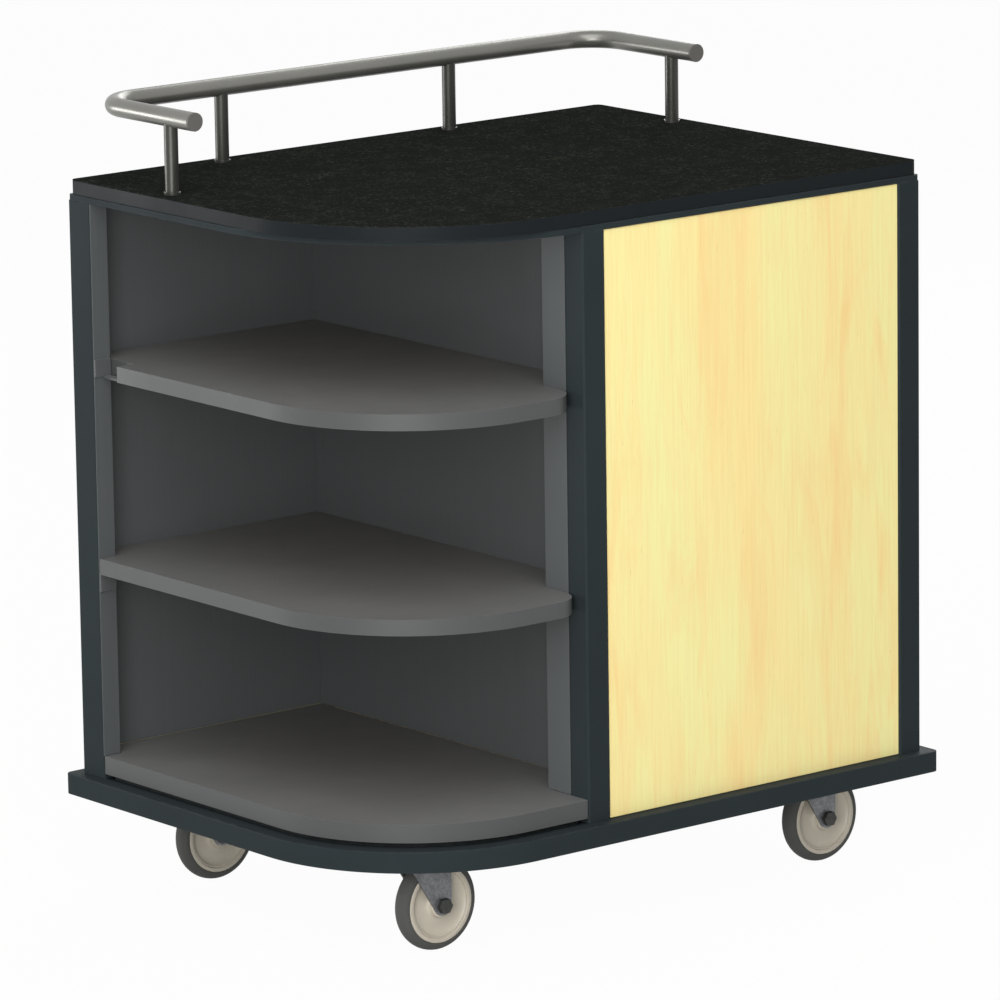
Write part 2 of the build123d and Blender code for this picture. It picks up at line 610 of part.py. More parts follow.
def caster_mounting():
    """The plates, bolts and kingpins that hold the four casters under the base."""
    plate_bottom = PLATE_BOTTOM - CASTER_PLATE_THICKNESS
    race_bottom = plate_bottom - RACE_HEIGHT
    plates = []
    bolts = []
    kingpins = []
    for x, y in caster_places().values():
        outline = Pos(x, y) * RectangleRounded(CASTER_PLATE_LENGTH, CASTER_PLATE_WIDTH, SMALL_CORNER)
        plate = slab(outline, plate_bottom, PLATE_BOTTOM)
        plate += upright(x, y, race_bottom, plate_bottom, RACE_DIAMETER)
        plate -= upright(x, y, race_bottom, PLATE_BOTTOM, KINGPIN_DIAMETER)
        for bolt_x, bolt_y in bolt_places(x, y):
            plate -= upright(bolt_x, bolt_y, plate_bottom, PLATE_BOTTOM, CASTER_BOLT_DIAMETER)
            bolt = upright(bolt_x, bolt_y, plate_bottom, BASE_TOP, CASTER_BOLT_DIAMETER)
            head_bottom = plate_bottom - CASTER_BOLT_HEAD_THICKNESS
            bolt += upright(bolt_x, bolt_y, head_bottom, plate_bottom, CASTER_BOLT_HEAD_DIAMETER)
            bolts.append(bolt)
        plates.append(plate)
        head_top = CROWN_BOTTOM - SWIVEL_GAP
        kingpin = upright(x, y, head_top, PLATE_BOTTOM, KINGPIN_DIAMETER)
        kingpin += upright(x, y, head_top - KINGPIN_HEAD_THICKNESS, head_top, KINGPIN_HEAD_DIAMETER)
        kingpins.append(kingpin)
    write("caster_plates", *plates)
    write("caster_bolts", *bolts)
    write("caster_kingpins", *kingpins)


def fork(x, y):
    """The swivelling fork: a round crown under the race, and a leg on each side of the wheel."""
    crown = upright(x, y, CROWN_BOTTOM, CROWN_TOP, RACE_DIAMETER + 2 * SWIVEL_GAP)
    half_top = FORK_LEG_TOP_WIDTH / 2
    crown += block(x - half_top, x + half_top, y - FORK_OUTER, y + FORK_OUTER, CROWN_BOTTOM, CROWN_TOP)
    outline = make_hull(
        [
            Line((x - half_top, CROWN_BOTTOM), (x + half_top, CROWN_BOTTOM)),
            CenterArc((x + SWIVEL_TRAIL, WHEEL_RADIUS), FORK_LEG_BOTTOM_RADIUS, 0, 4 * QUARTER_TURN),
        ]
    )
    leg = extrude(Plane.XZ * outline, FORK_THICKNESS)
    crown += Pos(0, y - FORK_INNER, 0) * leg
    crown += Pos(0, y + FORK_OUTER, 0) * leg
    crown -= upright(x, y, CROWN_BOTTOM, CROWN_TOP, KINGPIN_DIAMETER + 2 * RUNNING_CLEARANCE)
    crown -= crosswise(x + SWIVEL_TRAIL, WHEEL_RADIUS, y - FORK_OUTER, y + FORK_OUTER, AXLE_DIAMETER)
    return crown


def hexagon(x, y_min, y_max):
    """A hexagonal head or nut on the axle."""
    radius = HEX_ACROSS_FLATS / 2 / cos(radians(2 * QUARTER_TURN / HEX_SIDES))
    prism = extrude(Plane.XZ * RegularPolygon(radius, HEX_SIDES), y_max - y_min)
    return Pos(x, y_max, WHEEL_RADIUS) * prism


def axle(x, y):
    """The axle bolt with its head at the front, and its nut at the back."""
    wheel_x = x + SWIVEL_TRAIL
    head_front = y - FORK_OUTER - HEX_HEAD_THICKNESS
    nut_back = y + FORK_OUTER + HEX_HEAD_THICKNESS
    bolt = crosswise(wheel_x, WHEEL_RADIUS, y - FORK_OUTER, nut_back, AXLE_DIAMETER)
    bolt += hexagon(wheel_x, head_front, y - FORK_OUTER)
    nut = hexagon(wheel_x, y + FORK_OUTER, nut_back)
    nut -= crosswise(wheel_x, WHEEL_RADIUS, y + FORK_OUTER, nut_back, AXLE_DIAMETER)
    return bolt, nut


def turned(x, y, profile):
    """A wheel part: half of its section, given as radius and width, turned about the axle."""
    face = make_face(Polyline(*profile, close=True))
    solid = revolve(face, Axis.Y)
    return Pos(x + SWIVEL_TRAIL, y, WHEEL_RADIUS) * solid


def wheel(x, y):
    """The wheel's core: a rim, a thinner web and a boss with a bore for the bush."""
    half = WHEEL_WIDTH / 2
    profile = (
        (BUSH_RADIUS + RUNNING_CLEARANCE, -BOSS_HALF),
        (BOSS_RADIUS, -BOSS_HALF),
        (BOSS_RADIUS, -WEB_HALF),
        (RIM_RADIUS, -WEB_HALF),
        (RIM_RADIUS, -half),
        (WHEEL_CORE_DIAMETER / 2, -half),
        (WHEEL_CORE_DIAMETER / 2, half),
        (RIM_RADIUS, half),
        (RIM_RADIUS, WEB_HALF),
        (BOSS_RADIUS, WEB_HALF),
        (BOSS_RADIUS, BOSS_HALF),
        (BUSH_RADIUS + RUNNING_CLEARANCE, BOSS_HALF),
    )
    return turned(x, y, profile)


def tyre(x, y):
    """The tyre round the core, with its outer edges rounded."""
    half = WHEEL_WIDTH / 2
    core = WHEEL_CORE_DIAMETER / 2
    profile = ((core, -half), (WHEEL_RADIUS, -half), (WHEEL_RADIUS, half), (core, half))
    solid = turned(x, y, profile)
    outer_edges = solid.edges().filter_by(GeomType.CIRCLE).sort_by(lambda edge: edge.radius)[-2:]
    return fillet(outer_edges, TYRE_EDGE_RADIUS)


def casters():
    """Each caster's fork, axle, bush, wheel and tyre."""
    for corner, (x, y) in caster_places().items():
        write(f"caster_fork_{corner}", fork(x, y))
        write(f"caster_axle_{corner}", *axle(x, y))
        bush = crosswise(x + SWIVEL_TRAIL, WHEEL_RADIUS, y - FORK_INNER, y + FORK_INNER, 2 * BUSH_RADIUS)
        bush -= crosswise(x + SWIVEL_TRAIL, WHEEL_RADIUS, y - FORK_INNER, y + FORK_INNER, AXLE_DIAMETER)
        write(f"caster_bush_{corner}", bush)
        write(f"caster_wheel_{corner}", wheel(x, y))
        write(f"caster_tyre_{corner}", tyre(x, y))


base()
posts()
top_frame()
counter()
panels()
lining()
open_shelves()
shelf_supports()
closed_cabinet()
rear_door()
hinges()
guard_rail()
caster_mounting()
casters()
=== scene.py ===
# %% [markdown]
# # A beverage cart in procedural materials
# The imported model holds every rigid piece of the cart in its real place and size, in metres.
# Blender only gives these pieces their looks: finishes, softened edges, finer wheels and small
# screws. Loading the model first means that nothing has to be fitted by eye.

import math

import bmesh
import bpy
from mathutils import Matrix, Vector


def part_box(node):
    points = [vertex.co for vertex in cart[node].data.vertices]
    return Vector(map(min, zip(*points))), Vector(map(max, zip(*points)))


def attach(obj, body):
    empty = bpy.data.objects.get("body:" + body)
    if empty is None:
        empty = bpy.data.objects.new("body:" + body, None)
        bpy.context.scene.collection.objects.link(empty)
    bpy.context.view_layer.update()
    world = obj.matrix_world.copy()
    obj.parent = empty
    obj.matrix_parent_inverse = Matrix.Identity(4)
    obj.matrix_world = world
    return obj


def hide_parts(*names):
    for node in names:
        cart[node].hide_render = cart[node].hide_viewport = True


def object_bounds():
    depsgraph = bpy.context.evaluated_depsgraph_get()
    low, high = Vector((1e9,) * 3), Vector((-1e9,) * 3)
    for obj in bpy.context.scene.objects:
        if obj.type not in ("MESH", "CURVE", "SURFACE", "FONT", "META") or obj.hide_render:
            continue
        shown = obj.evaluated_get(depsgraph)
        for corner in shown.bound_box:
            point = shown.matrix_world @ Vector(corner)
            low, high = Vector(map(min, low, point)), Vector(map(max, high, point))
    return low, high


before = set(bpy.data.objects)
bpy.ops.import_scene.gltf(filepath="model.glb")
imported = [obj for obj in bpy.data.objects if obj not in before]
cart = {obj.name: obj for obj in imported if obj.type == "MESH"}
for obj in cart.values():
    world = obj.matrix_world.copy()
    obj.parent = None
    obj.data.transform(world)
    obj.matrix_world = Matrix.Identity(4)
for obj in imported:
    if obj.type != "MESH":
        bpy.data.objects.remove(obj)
cad_low, cad_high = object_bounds()
print("loaded", len(cart), "pieces, box", [round(v, 4) for v in cad_high - cad_low])

# %% [markdown]
# ## The camera
# The picture was taken from the front left with a long lens, so upright edges stay almost
# parallel. The angles, the distance and the lens come from fitting a camera to edges of the cart
# whose real places are known. The camera is placed by its own three axes, because that keeps the
# small roll of the picture. The lamps use the same function for their directions later on.

# %% Place the camera
AZIMUTH = math.radians(-38.898)
ELEVATION = math.radians(12.114)
ROLL = math.radians(-0.831)
DISTANCE = 9.8985
SIDE_STEP = -0.0067
HEIGHT_STEP = 0.5147
SENSOR_WIDTH = 36.0
LENS_PER_PICTURE_WIDTH = 7.1479
CAMERA_REACH = 100


def direction(azimuth, elevation):
    """The direction from the cart to a place around it, where azimuth 0 is straight in front."""
    level = math.cos(elevation)
    return Vector((math.sin(azimuth) * level, -math.cos(azimuth) * level, math.sin(elevation)))


back = direction(AZIMUTH, ELEVATION)
level_right = Vector((math.cos(AZIMUTH), math.sin(AZIMUTH), 0))
level_up = back.cross(level_right)
camera_right = math.cos(ROLL) * level_right + math.sin(ROLL) * level_up
camera_up = -math.sin(ROLL) * level_right + math.cos(ROLL) * level_up
camera_data = bpy.data.cameras.new("camera")
camera_data.sensor_width = SENSOR_WIDTH
camera_data.lens = LENS_PER_PICTURE_WIDTH * SENSOR_WIDTH
camera_data.clip_end = CAMERA_REACH
camera = bpy.data.objects.new("camera", camera_data)
turn = Matrix((camera_right, camera_up, back)).transposed().to_4x4()
spot = SIDE_STEP * camera_right + HEIGHT_STEP * camera_up + DISTANCE * back
camera.matrix_world = Matrix.Translation(spot) @ turn
bpy.context.scene.collection.objects.link(camera)
bpy.context.scene.camera = camera
print("camera at", [round(v, 3) for v in spot], "lens", round(camera_data.lens, 1), "mm")

# %% [markdown]
# ## Small helpers for node trees
# A procedural material is a small graph of nodes. Two helpers keep each graph readable: one adds a
# node and fills or links its inputs, and one turns a colour as seen on a screen (0 to 255) into
# the linear numbers that Blender's shaders use.


# %% Helpers for colours and nodes
def screen_colour(red, green, blue):
    """A colour given as it looks on a screen, as linear red, green, blue and alpha."""
    linear = []
    for value in (red, green, blue):
        share = value / 255
        linear.append(share / 12.92 if share <= 0.04045 else ((share + 0.055) / 1.055) ** 2.4)
    return (*linear, 1.0)


def add_node(tree, kind, inputs=None, **settings):
    """Add a node, set its properties, and set or link its inputs by name or number."""
    node = tree.nodes.new(kind)
    for name, value in settings.items():
        setattr(node, name, value)
    for key, value in (inputs or {}).items():
        if isinstance(value, bpy.types.NodeSocket):
            tree.links.new(value, node.inputs[key])
        else:
            node.inputs[key].default_value = value
    return node


def remap(tree, value, low, high, to_low=0.0, to_high=1.0):
    """Stretch the part of a value between two limits to a new range, and cut off the rest."""
    inputs = {"Value": value, "From Min": low, "From Max": high, "To Min": to_low, "To Max": to_high}
    return add_node(tree, "ShaderNodeMapRange", inputs).outputs["Result"]


def multiply(tree, first, second):
    """The product of two values."""
    return add_node(tree, "ShaderNodeMath", {0: first, 1: second}, operation="MULTIPLY").outputs[0]


def blend_colour(tree, amount, first, second):
    """A colour between two others. The Mix node numbers its colour sockets 6 and 7, and 2 going out."""
    inputs = {0: amount, 6: first, 7: second}
    return add_node(tree, "ShaderNodeMix", inputs, data_type="RGBA").outputs[2]


def darkened(colour, share):
    """The same colour with only a share of its light."""
    return tuple(share * value for value in colour[:3]) + (1.0,)


def piece_point(tree, stretch=(1, 1, 1)):
    """The point on the piece in metres, stretched along each axis so that a pattern can be long."""
    place = tree.nodes.new("ShaderNodeTexCoord").outputs["Object"]
    node = add_node(tree, "ShaderNodeVectorMath", {0: place, 1: stretch}, operation="MULTIPLY")
    return node.outputs["Vector"]


def noise(tree, vector, scale, detail=3.0, roughness=0.5, distortion=0.0):
    """Soft random values from 0 to 1."""
    inputs = {
        "Vector": vector,
        "Scale": scale,
        "Detail": detail,
        "Roughness": roughness,
        "Distortion": distortion,
    }
    return add_node(tree, "ShaderNodeTexNoise", inputs).outputs["Fac"]


mid_grey = screen_colour(128, 128, 128)[0]
print("a mid grey of 128 on the screen is", round(mid_grey, 3), "in linear light")

# %% [markdown]
# ## Effects that several finishes share
# Paint, metal and plastic all wear at their edges, gather dust and have a fine surface texture.
# Each of these effects is built once as a node group with named inputs, and each material then
# sets its own values. A group gives out only masks and heights: the shader stays in the material.


# %% Start a shader node group
def start_group(name, inputs, outputs):
    """A new shader node group with named sockets, and its inner input and output sockets."""
    tree = bpy.data.node_groups.new(name, "ShaderNodeTree")
    for socket_name, value in inputs.items():
        socket_type = "NodeSocketVector" if isinstance(value, tuple) else "NodeSocketFloat"
        socket = tree.interface.new_socket(name=socket_name, in_out="INPUT", socket_type=socket_type)
        socket.default_value = value
    for socket_name in outputs:
        tree.interface.new_socket(name=socket_name, in_out="OUTPUT", socket_type="NodeSocketFloat")
    inner = tree.nodes.new("NodeGroupInput").outputs
    outer = tree.nodes.new("NodeGroupOutput").inputs
    return tree, inner, outer


# %% [markdown]
# ### Edge wear
# Handling rubs a finish thin along its outer edges first. A Bevel node gives the normal of an
# imagined rounded edge. Where it differs from the real normal, there is an edge. A noise breaks
# the line up, because real wear is never even.

# %% Build the edge wear group
wear_tree, wear_in, wear_out = start_group(
    "edge wear", {"Width": 0.002, "Amount": 0.5, "Breakup scale": 60.0}, ["Mask"]
)
rounded = add_node(wear_tree, "ShaderNodeBevel", {"Radius": wear_in["Width"]}, samples=4)
real_normal = wear_tree.nodes.new("ShaderNodeNewGeometry").outputs["Normal"]
likeness = add_node(
    wear_tree,
    "ShaderNodeVectorMath",
    {0: rounded.outputs["Normal"], 1: real_normal},
    operation="DOT_PRODUCT",
)
edge_line = remap(wear_tree, likeness.outputs["Value"], 0.995, 0.82)
patches = noise(wear_tree, piece_point(wear_tree), wear_in["Breakup scale"], 4.0, 0.65)
broken_line = multiply(wear_tree, edge_line, remap(wear_tree, patches, 0.38, 0.68))
wear_tree.links.new(multiply(wear_tree, broken_line, wear_in["Amount"]), wear_out["Mask"])
print("edge wear group has", len(wear_tree.nodes), "nodes")

# %% [markdown]
# ### Fine grain
# Powder coat dries like the skin of an orange, moulded plastic is faintly sandy, and rubber is
# matt. All three are a small bump that only differs in scale, so they share one height.

# %% Build the fine grain group
grain_tree, grain_in, grain_out = start_group("fine grain", {"Scale": 700.0}, ["Height"])
grain_height = noise(grain_tree, piece_point(grain_tree), grain_in["Scale"], 2.0, 0.6)
grain_tree.links.new(grain_height, grain_out["Height"])
print("fine grain group has", len(grain_tree.nodes), "nodes")

# %% [markdown]
# ### Brushed lines
# Sheet and tube are ground with a belt, which leaves thin parallel lines. A noise that is
# stretched far along one direction gives lines of different strength that never repeat.

# %% Build the brushed lines group
brush_tree, brush_in, brush_out = start_group(
    "brushed lines", {"Stretch": (4.0, 900.0, 900.0)}, ["Height"]
)
brush_place = piece_point(brush_tree, brush_in["Stretch"])
brush_tree.links.new(noise(brush_tree, brush_place, 1.0, 4.0, 0.7), brush_out["Height"])
print("brushed lines group has", len(brush_tree.nodes), "nodes")

# %% [markdown]
# ### Smudges
# Hands and cloths leave soft patches that shine a little more or less than the rest. They show
# only in the roughness, which is why a perfectly even roughness looks false.

# %% Build the smudges group
smudge_tree, smudge_in, smudge_out = start_group("smudges", {"Scale": 6.0, "Contrast": 1.0}, ["Value"])
clouds = noise(smudge_tree, piece_point(smudge_tree), smudge_in["Scale"], 5.0, 0.6, 0.4)
spread = add_node(
    smudge_tree, "ShaderNodeMath", {0: clouds, 1: 0.5}, operation="SUBTRACT"
).outputs[0]
smudge_tree.links.new(multiply(smudge_tree, spread, smudge_in["Contrast"]), smudge_out["Value"])
print("smudges group has", len(smudge_tree.nodes), "nodes")

# %% [markdown]
# ### Settled dust and painted top light
# Dust lies on what faces up, and more of it in some places than in others. The upward part of the
# normal, times a noise, is a mask that any colour can be blended with. The evenness lifts the thin
# places, so that the same group also paints whole tops paler, which is painted top light.

# %% Build the group for settled dust and painted top light
dust_and_top_light_tree, dust_in, dust_out = start_group(
    "settled dust", {"Amount": 0.2, "Scale": 14.0, "Evenness": 0.0}, ["Mask"]
)
dust_normal = dust_and_top_light_tree.nodes.new("ShaderNodeNewGeometry").outputs["Normal"]
dust_up = add_node(dust_and_top_light_tree, "ShaderNodeSeparateXYZ", {0: dust_normal}).outputs["Z"]
dust_clouds = noise(dust_and_top_light_tree, piece_point(dust_and_top_light_tree), dust_in["Scale"], 6.0, 0.7)
# With the evenness raised, this cover is painted top light that pales the tops nearly all over.
dust_cover = remap(dust_and_top_light_tree, dust_clouds, 0.35, 0.75, dust_in["Evenness"])
dust_and_top_light_mask = multiply(dust_and_top_light_tree, remap(dust_and_top_light_tree, dust_up, 0.4, 1.0), dust_cover)
dust_and_top_light_tree.links.new(multiply(dust_and_top_light_tree, dust_and_top_light_mask, dust_in["Amount"]), dust_out["Mask"])
print("settled dust group has", len(dust_and_top_light_tree.nodes), "nodes")

# %% [markdown]
# ### Using the effects in a material
# Every material starts as one Principled shader. The helpers below place a group in it with that
# material's own values, and join a height to the shader through a Bump node.


# %% Helpers that start a material and use the groups
def start_material(name, **values):
    """A new material with one Principled shader, whose plain sockets are set by name."""
    material = bpy.data.materials.new(name)
    material.use_nodes = True
    tree = material.node_tree
    shader = tree.nodes["Principled BSDF"]
    for socket_name, value in values.items():
        shader.inputs[socket_name.replace("_", " ")].default_value = value
    return material, tree, shader


def use_group(tree, group, **values):
    """Place a shared effect in a material, and give back its output."""
    node = tree.nodes.new("ShaderNodeGroup")
    node.node_tree = group
    for socket_name, value in values.items():
        node.inputs[socket_name.replace("_", " ")].default_value = value
    return node.outputs[0]


def set_bump(tree, shader, height, depth, strength=1.0):
    """Roughen the surface by a height between 0 and 1, as deep as given in metres."""
    inputs = {"Height": height, "Distance": depth, "Strength": strength}
    tree.links.new(add_node(tree, "ShaderNodeBump", inputs).outputs["Normal"], shader.inputs["Normal"])


def set_roughness(tree, shader, plain, *changes):
    """A roughness made of a plain value and the values that change it over the surface."""
    total = plain
    for change in changes:
        total = add_node(tree, "ShaderNodeMath", {0: change, 1: total}, operation="ADD").outputs[0]
    tree.links.new(total, shader.inputs["Roughness"])


print("five shared effects are ready")

# %% [markdown]
# ## Black powder coat
# The base, the posts and the top frame are steel with a baked blue-black powder coat. It is a
# dielectric skin, so the shader stays non-metallic. A grain bump gives the orange peel, dust greys
# what faces up, and worn edges show a slightly paler grey.

# %% Make the black powder coat
powder_coat, tree, shader = start_material("black powder coat", Specular_IOR_Level=0.02)
shade = noise(tree, piece_point(tree), 3.0, 4.0, 0.6)
coat_colour = blend_colour(tree, shade, screen_colour(38, 44, 46), screen_colour(48, 55, 57))
worn = use_group(tree, wear_tree, Width=0.0025, Amount=0.35, Breakup_scale=45.0)
coat_colour = blend_colour(tree, worn, coat_colour, screen_colour(96, 101, 103))
dust_and_top_light = use_group(tree, dust_and_top_light_tree, Amount=0.012, Scale=16.0)
coat_colour = blend_colour(tree, dust_and_top_light, coat_colour, screen_colour(120, 118, 112))
tree.links.new(coat_colour, shader.inputs["Base Color"])
peel = use_group(tree, grain_tree, Scale=650.0)
set_bump(tree, shader, peel, 0.0004, 0.35)
set_roughness(tree, shader, 0.46, use_group(tree, smudge_tree, Scale=7.0, Contrast=0.3), dust_and_top_light)
print("black powder coat:", len(tree.nodes), "nodes")

# %% [markdown]
# ## Stone-look laminate
# The counter is covered in a nearly black laminate printed like fine granite. Two cell patterns of
# different size give the crystals, a slow noise gathers them into lighter and darker clouds, and
# a few small pale flecks stand out. The surface is so dull that the shader mirrors nothing.

# %% Make the stone-look laminate
stone, tree, shader = start_material("stone look laminate", Specular_IOR_Level=0.0)
point = piece_point(tree)
jitter = add_node(tree, "ShaderNodeTexNoise", {"Vector": point, "Scale": 160.0, "Detail": 3.0})
shift = add_node(
    tree, "ShaderNodeVectorMath", {0: jitter.outputs["Color"], "Scale": 0.004}, operation="SCALE"
)
crystal_place = add_node(tree, "ShaderNodeVectorMath", {0: point, 1: shift.outputs["Vector"]})
crystals = add_node(
    tree, "ShaderNodeTexVoronoi", {"Vector": crystal_place.outputs["Vector"], "Scale": 230.0}
)
crystal_tone = add_node(tree, "ShaderNodeSeparateColor", {0: crystals.outputs["Color"]}).outputs[0]
clouds = remap(tree, noise(tree, point, 26.0, 5.0, 0.65), 0.38, 0.68)
olive = multiply(tree, remap(tree, crystal_tone, 0.45, 0.95), clouds)
stone_colour = blend_colour(tree, olive, screen_colour(30, 32, 30), screen_colour(47, 50, 44))
fleck_cells = add_node(tree, "ShaderNodeTexVoronoi", {"Vector": point, "Scale": 420.0})
fleck_tone = add_node(tree, "ShaderNodeSeparateColor", {0: fleck_cells.outputs["Color"]}).outputs[1]
flecks = remap(tree, fleck_tone, 0.95, 1.0, 0.0, 0.22)
stone_colour = blend_colour(tree, flecks, stone_colour, screen_colour(112, 112, 100))
tree.links.new(stone_colour, shader.inputs["Base Color"])
set_roughness(tree, shader, 0.5, use_group(tree, smudge_tree, Scale=5.0, Contrast=0.35))
set_bump(tree, shader, use_group(tree, grain_tree, Scale=1100.0), 0.00015, 0.4)
print("stone look laminate:", len(tree.nodes), "nodes")

# %% [markdown]
# ## Edge band
# A strip of plain blue-black plastic is glued round the counter board. It is a little bluer than
# the laminate, and shows fine marks where it was trimmed.

# %% Make the edge band
edge_band, tree, shader = start_material("edge band", Specular_IOR_Level=0.06)
trim_marks = use_group(tree, brush_tree, Stretch=(18.0, 18.0, 1400.0))
band_colour = blend_colour(tree, trim_marks, screen_colour(20, 23, 25), screen_colour(29, 33, 35))
band_wear = use_group(tree, wear_tree, Width=0.0015, Amount=0.4, Breakup_scale=70.0)
band_colour = blend_colour(tree, band_wear, band_colour, screen_colour(92, 96, 98))
tree.links.new(band_colour, shader.inputs["Base Color"])
set_roughness(tree, shader, 0.45, use_group(tree, smudge_tree, Scale=9.0, Contrast=0.25))
set_bump(tree, shader, trim_marks, 0.0002, 0.3)
print("edge band:", len(tree.nodes), "nodes")

# %% [markdown]
# ## Maple
# The door and the panels carry pale maple with its grain upright. Maple has three things to see: a
# slow figure that moves between cream, peach and a little green, fine fibre lines, and short dark
# flecks. All three are noise stretched along the grain, and boards that lie flat are given the same
# wood with its grain along their length.


# %% Make maple with its grain in a chosen direction
def grain_noise(tree, grain_axis, along, across, detail, roughness, distortion=0.0):
    """A noise that is slow along the grain and fast across it."""
    stretch = tuple(along if axis == grain_axis else across for axis in range(3))
    return noise(tree, piece_point(tree, stretch), 1.0, detail, roughness, distortion)


def make_maple(name, grain_axis):
    """Maple with its grain along one axis: a slow figure, peach streaks, fibres and short flecks."""
    material, tree, shader = start_material(name, Specular_IOR_Level=0.35)
    figure = grain_noise(tree, grain_axis, 1.5, 9.0, 5.0, 0.58, 0.7)
    colour = blend_colour(
        tree, remap(tree, figure, 0.36, 0.64), screen_colour(248, 226, 155), screen_colour(242, 236, 165)
    )
    peach = remap(tree, grain_noise(tree, grain_axis, 2.4, 15.0, 4.0, 0.6, 1.1), 0.5, 0.74)
    colour = blend_colour(tree, multiply(tree, peach, 0.75), colour, screen_colour(247, 205, 136))
    fibre = grain_noise(tree, grain_axis, 7.0, 210.0, 6.0, 0.72, 0.25)
    colour = blend_colour(
        tree, multiply(tree, remap(tree, fibre, 0.42, 0.8), 0.4), colour, screen_colour(233, 194, 122)
    )
    fleck = remap(tree, grain_noise(tree, grain_axis, 38.0, 620.0, 2.0, 0.5), 0.7, 0.8)
    colour = blend_colour(tree, multiply(tree, fleck, 0.5), colour, screen_colour(196, 146, 84))
    worn = use_group(tree, wear_tree, Width=0.002, Amount=0.3, Breakup_scale=50.0)
    colour = blend_colour(tree, worn, colour, screen_colour(214, 172, 110))
    tree.links.new(colour, shader.inputs["Base Color"])
    set_roughness(tree, shader, 0.36, use_group(tree, smudge_tree, Scale=4.0, Contrast=0.25))
    set_bump(tree, shader, fibre, 0.0002, 0.25)
    print(name + ":", len(tree.nodes), "nodes")
    return material


UPRIGHT = 2
SIDEWAYS = 0
standing_maple = make_maple("maple with upright grain", UPRIGHT)
lying_maple = make_maple("maple with lying grain", SIDEWAYS)

# %% [markdown]
# ## Board core
# Under the skins the shelves and the counter are particleboard. Only a little of it can ever be
# seen, at the open undersides, as pressed chips of different browns. The lowest board stands on the
# base and shows its foot all round. That board is coloured near black, which is painted shade for
# the dark gap under the deck, and the chips show through as small differences in tone.


# %% Make the particleboard, bare and in painted shade
def make_board(name, dark, light, roughness):
    """Pressed wood chips of two tones, with the cells of the chips as a small relief."""
    material, tree, shader = start_material(name, Specular_IOR_Level=0.08)
    chip_cells = add_node(
        tree, "ShaderNodeTexVoronoi", {"Vector": piece_point(tree, (1.0, 0.55, 1.0)), "Scale": 260.0}
    )
    chip_tone = add_node(tree, "ShaderNodeSeparateColor", {0: chip_cells.outputs["Color"]}).outputs[0]
    tree.links.new(blend_colour(tree, chip_tone, dark, light), shader.inputs["Base Color"])
    set_roughness(tree, shader, roughness, use_group(tree, smudge_tree, Scale=20.0, Contrast=0.15))
    set_bump(tree, shader, chip_cells.outputs["Distance"], 0.0005, 0.35)
    print(name + ":", len(tree.nodes), "nodes")
    return material


board = make_board("particleboard", screen_colour(150, 116, 76), screen_colour(206, 176, 130), 0.78)
# Painted shade: the near-black board stands in for the shade in the gap between the deck and the base.
board_in_painted_shade = make_board(
    "particleboard in painted shade", screen_colour(20, 22, 23), screen_colour(30, 33, 34), 0.6
)

# %% [markdown]
# ## Satin grey sheet
# The open compartment is lined with thin satin steel sheet, dark enough that the back of each bay
# falls into shade. It is metal under a dull lacquer, so the shader is only a little metallic and
# rough, with faint upright brushing on the walls and brushing along the shelves. The shelves are
# glossier than the walls. Their tops are blended paler in patches through the dust mask, which is
# painted top light for the light that falls on them.


# %% Make the grey sheet with its brushing in a chosen direction
def make_grey_sheet(name, stretch, dark, light, shine):
    """Satin grey steel sheet, brushed so that its lines run along the small stretch value."""
    material, tree, shader = start_material(name, Specular_IOR_Level=shine, Metallic=0.08)
    lines = use_group(tree, brush_tree, Stretch=stretch)
    colour = blend_colour(tree, lines, dark, light)
    patches = remap(tree, noise(tree, piece_point(tree), 5.0, 5.0, 0.6, 0.3), 0.4, 0.75)
    colour = blend_colour(tree, multiply(tree, patches, 0.25), colour, light)
    worn = use_group(tree, wear_tree, Width=0.002, Amount=0.1, Breakup_scale=55.0)
    colour = blend_colour(tree, worn, colour, screen_colour(158, 158, 156))
    # Painted top light: faces that look up are blended paler, in patches, to stand in for the light
    # falling on the tops.
    dust_and_top_light = use_group(tree, dust_and_top_light_tree, Amount=0.4, Scale=4.0, Evenness=0.7)
    colour = blend_colour(tree, dust_and_top_light, colour, screen_colour(150, 150, 149))
    tree.links.new(colour, shader.inputs["Base Color"])
    set_roughness(
        tree,
        shader,
        0.44,
        use_group(tree, smudge_tree, Scale=6.0, Contrast=0.3),
        multiply(tree, lines, 0.08),
    )
    set_bump(tree, shader, lines, 0.00012, 0.35)
    print(name + ":", len(tree.nodes), "nodes")
    return material


UPRIGHT_LINES = (900.0, 900.0, 5.0)
LYING_LINES = (5.0, 900.0, 900.0)
wall_sheet = make_grey_sheet(
    "grey sheet with upright brushing",
    UPRIGHT_LINES,
    screen_colour(76, 79, 80),
    screen_colour(88, 91, 92),
    0.04,
)
shelf_sheet = make_grey_sheet(
    "grey sheet with lying brushing",
    LYING_LINES,
    screen_colour(69, 70, 70),
    screen_colour(81, 82, 82),
    0.26,
)
support_sheet = make_grey_sheet(
    "grey sheet of the supports",
    LYING_LINES,
    screen_colour(74, 76, 77),
    screen_colour(86, 88, 89),
    0.1,
)

# %% [markdown]
# ## Zinc plate
# Forks, plates, bolts and hinges are steel plated with zinc. It shows a fine crystal spangle and
# dulls in patches. Metal reflects in its own colour, so the shader is mostly metallic. The axle
# bolts carry the same plate gone dark, so one function makes both.


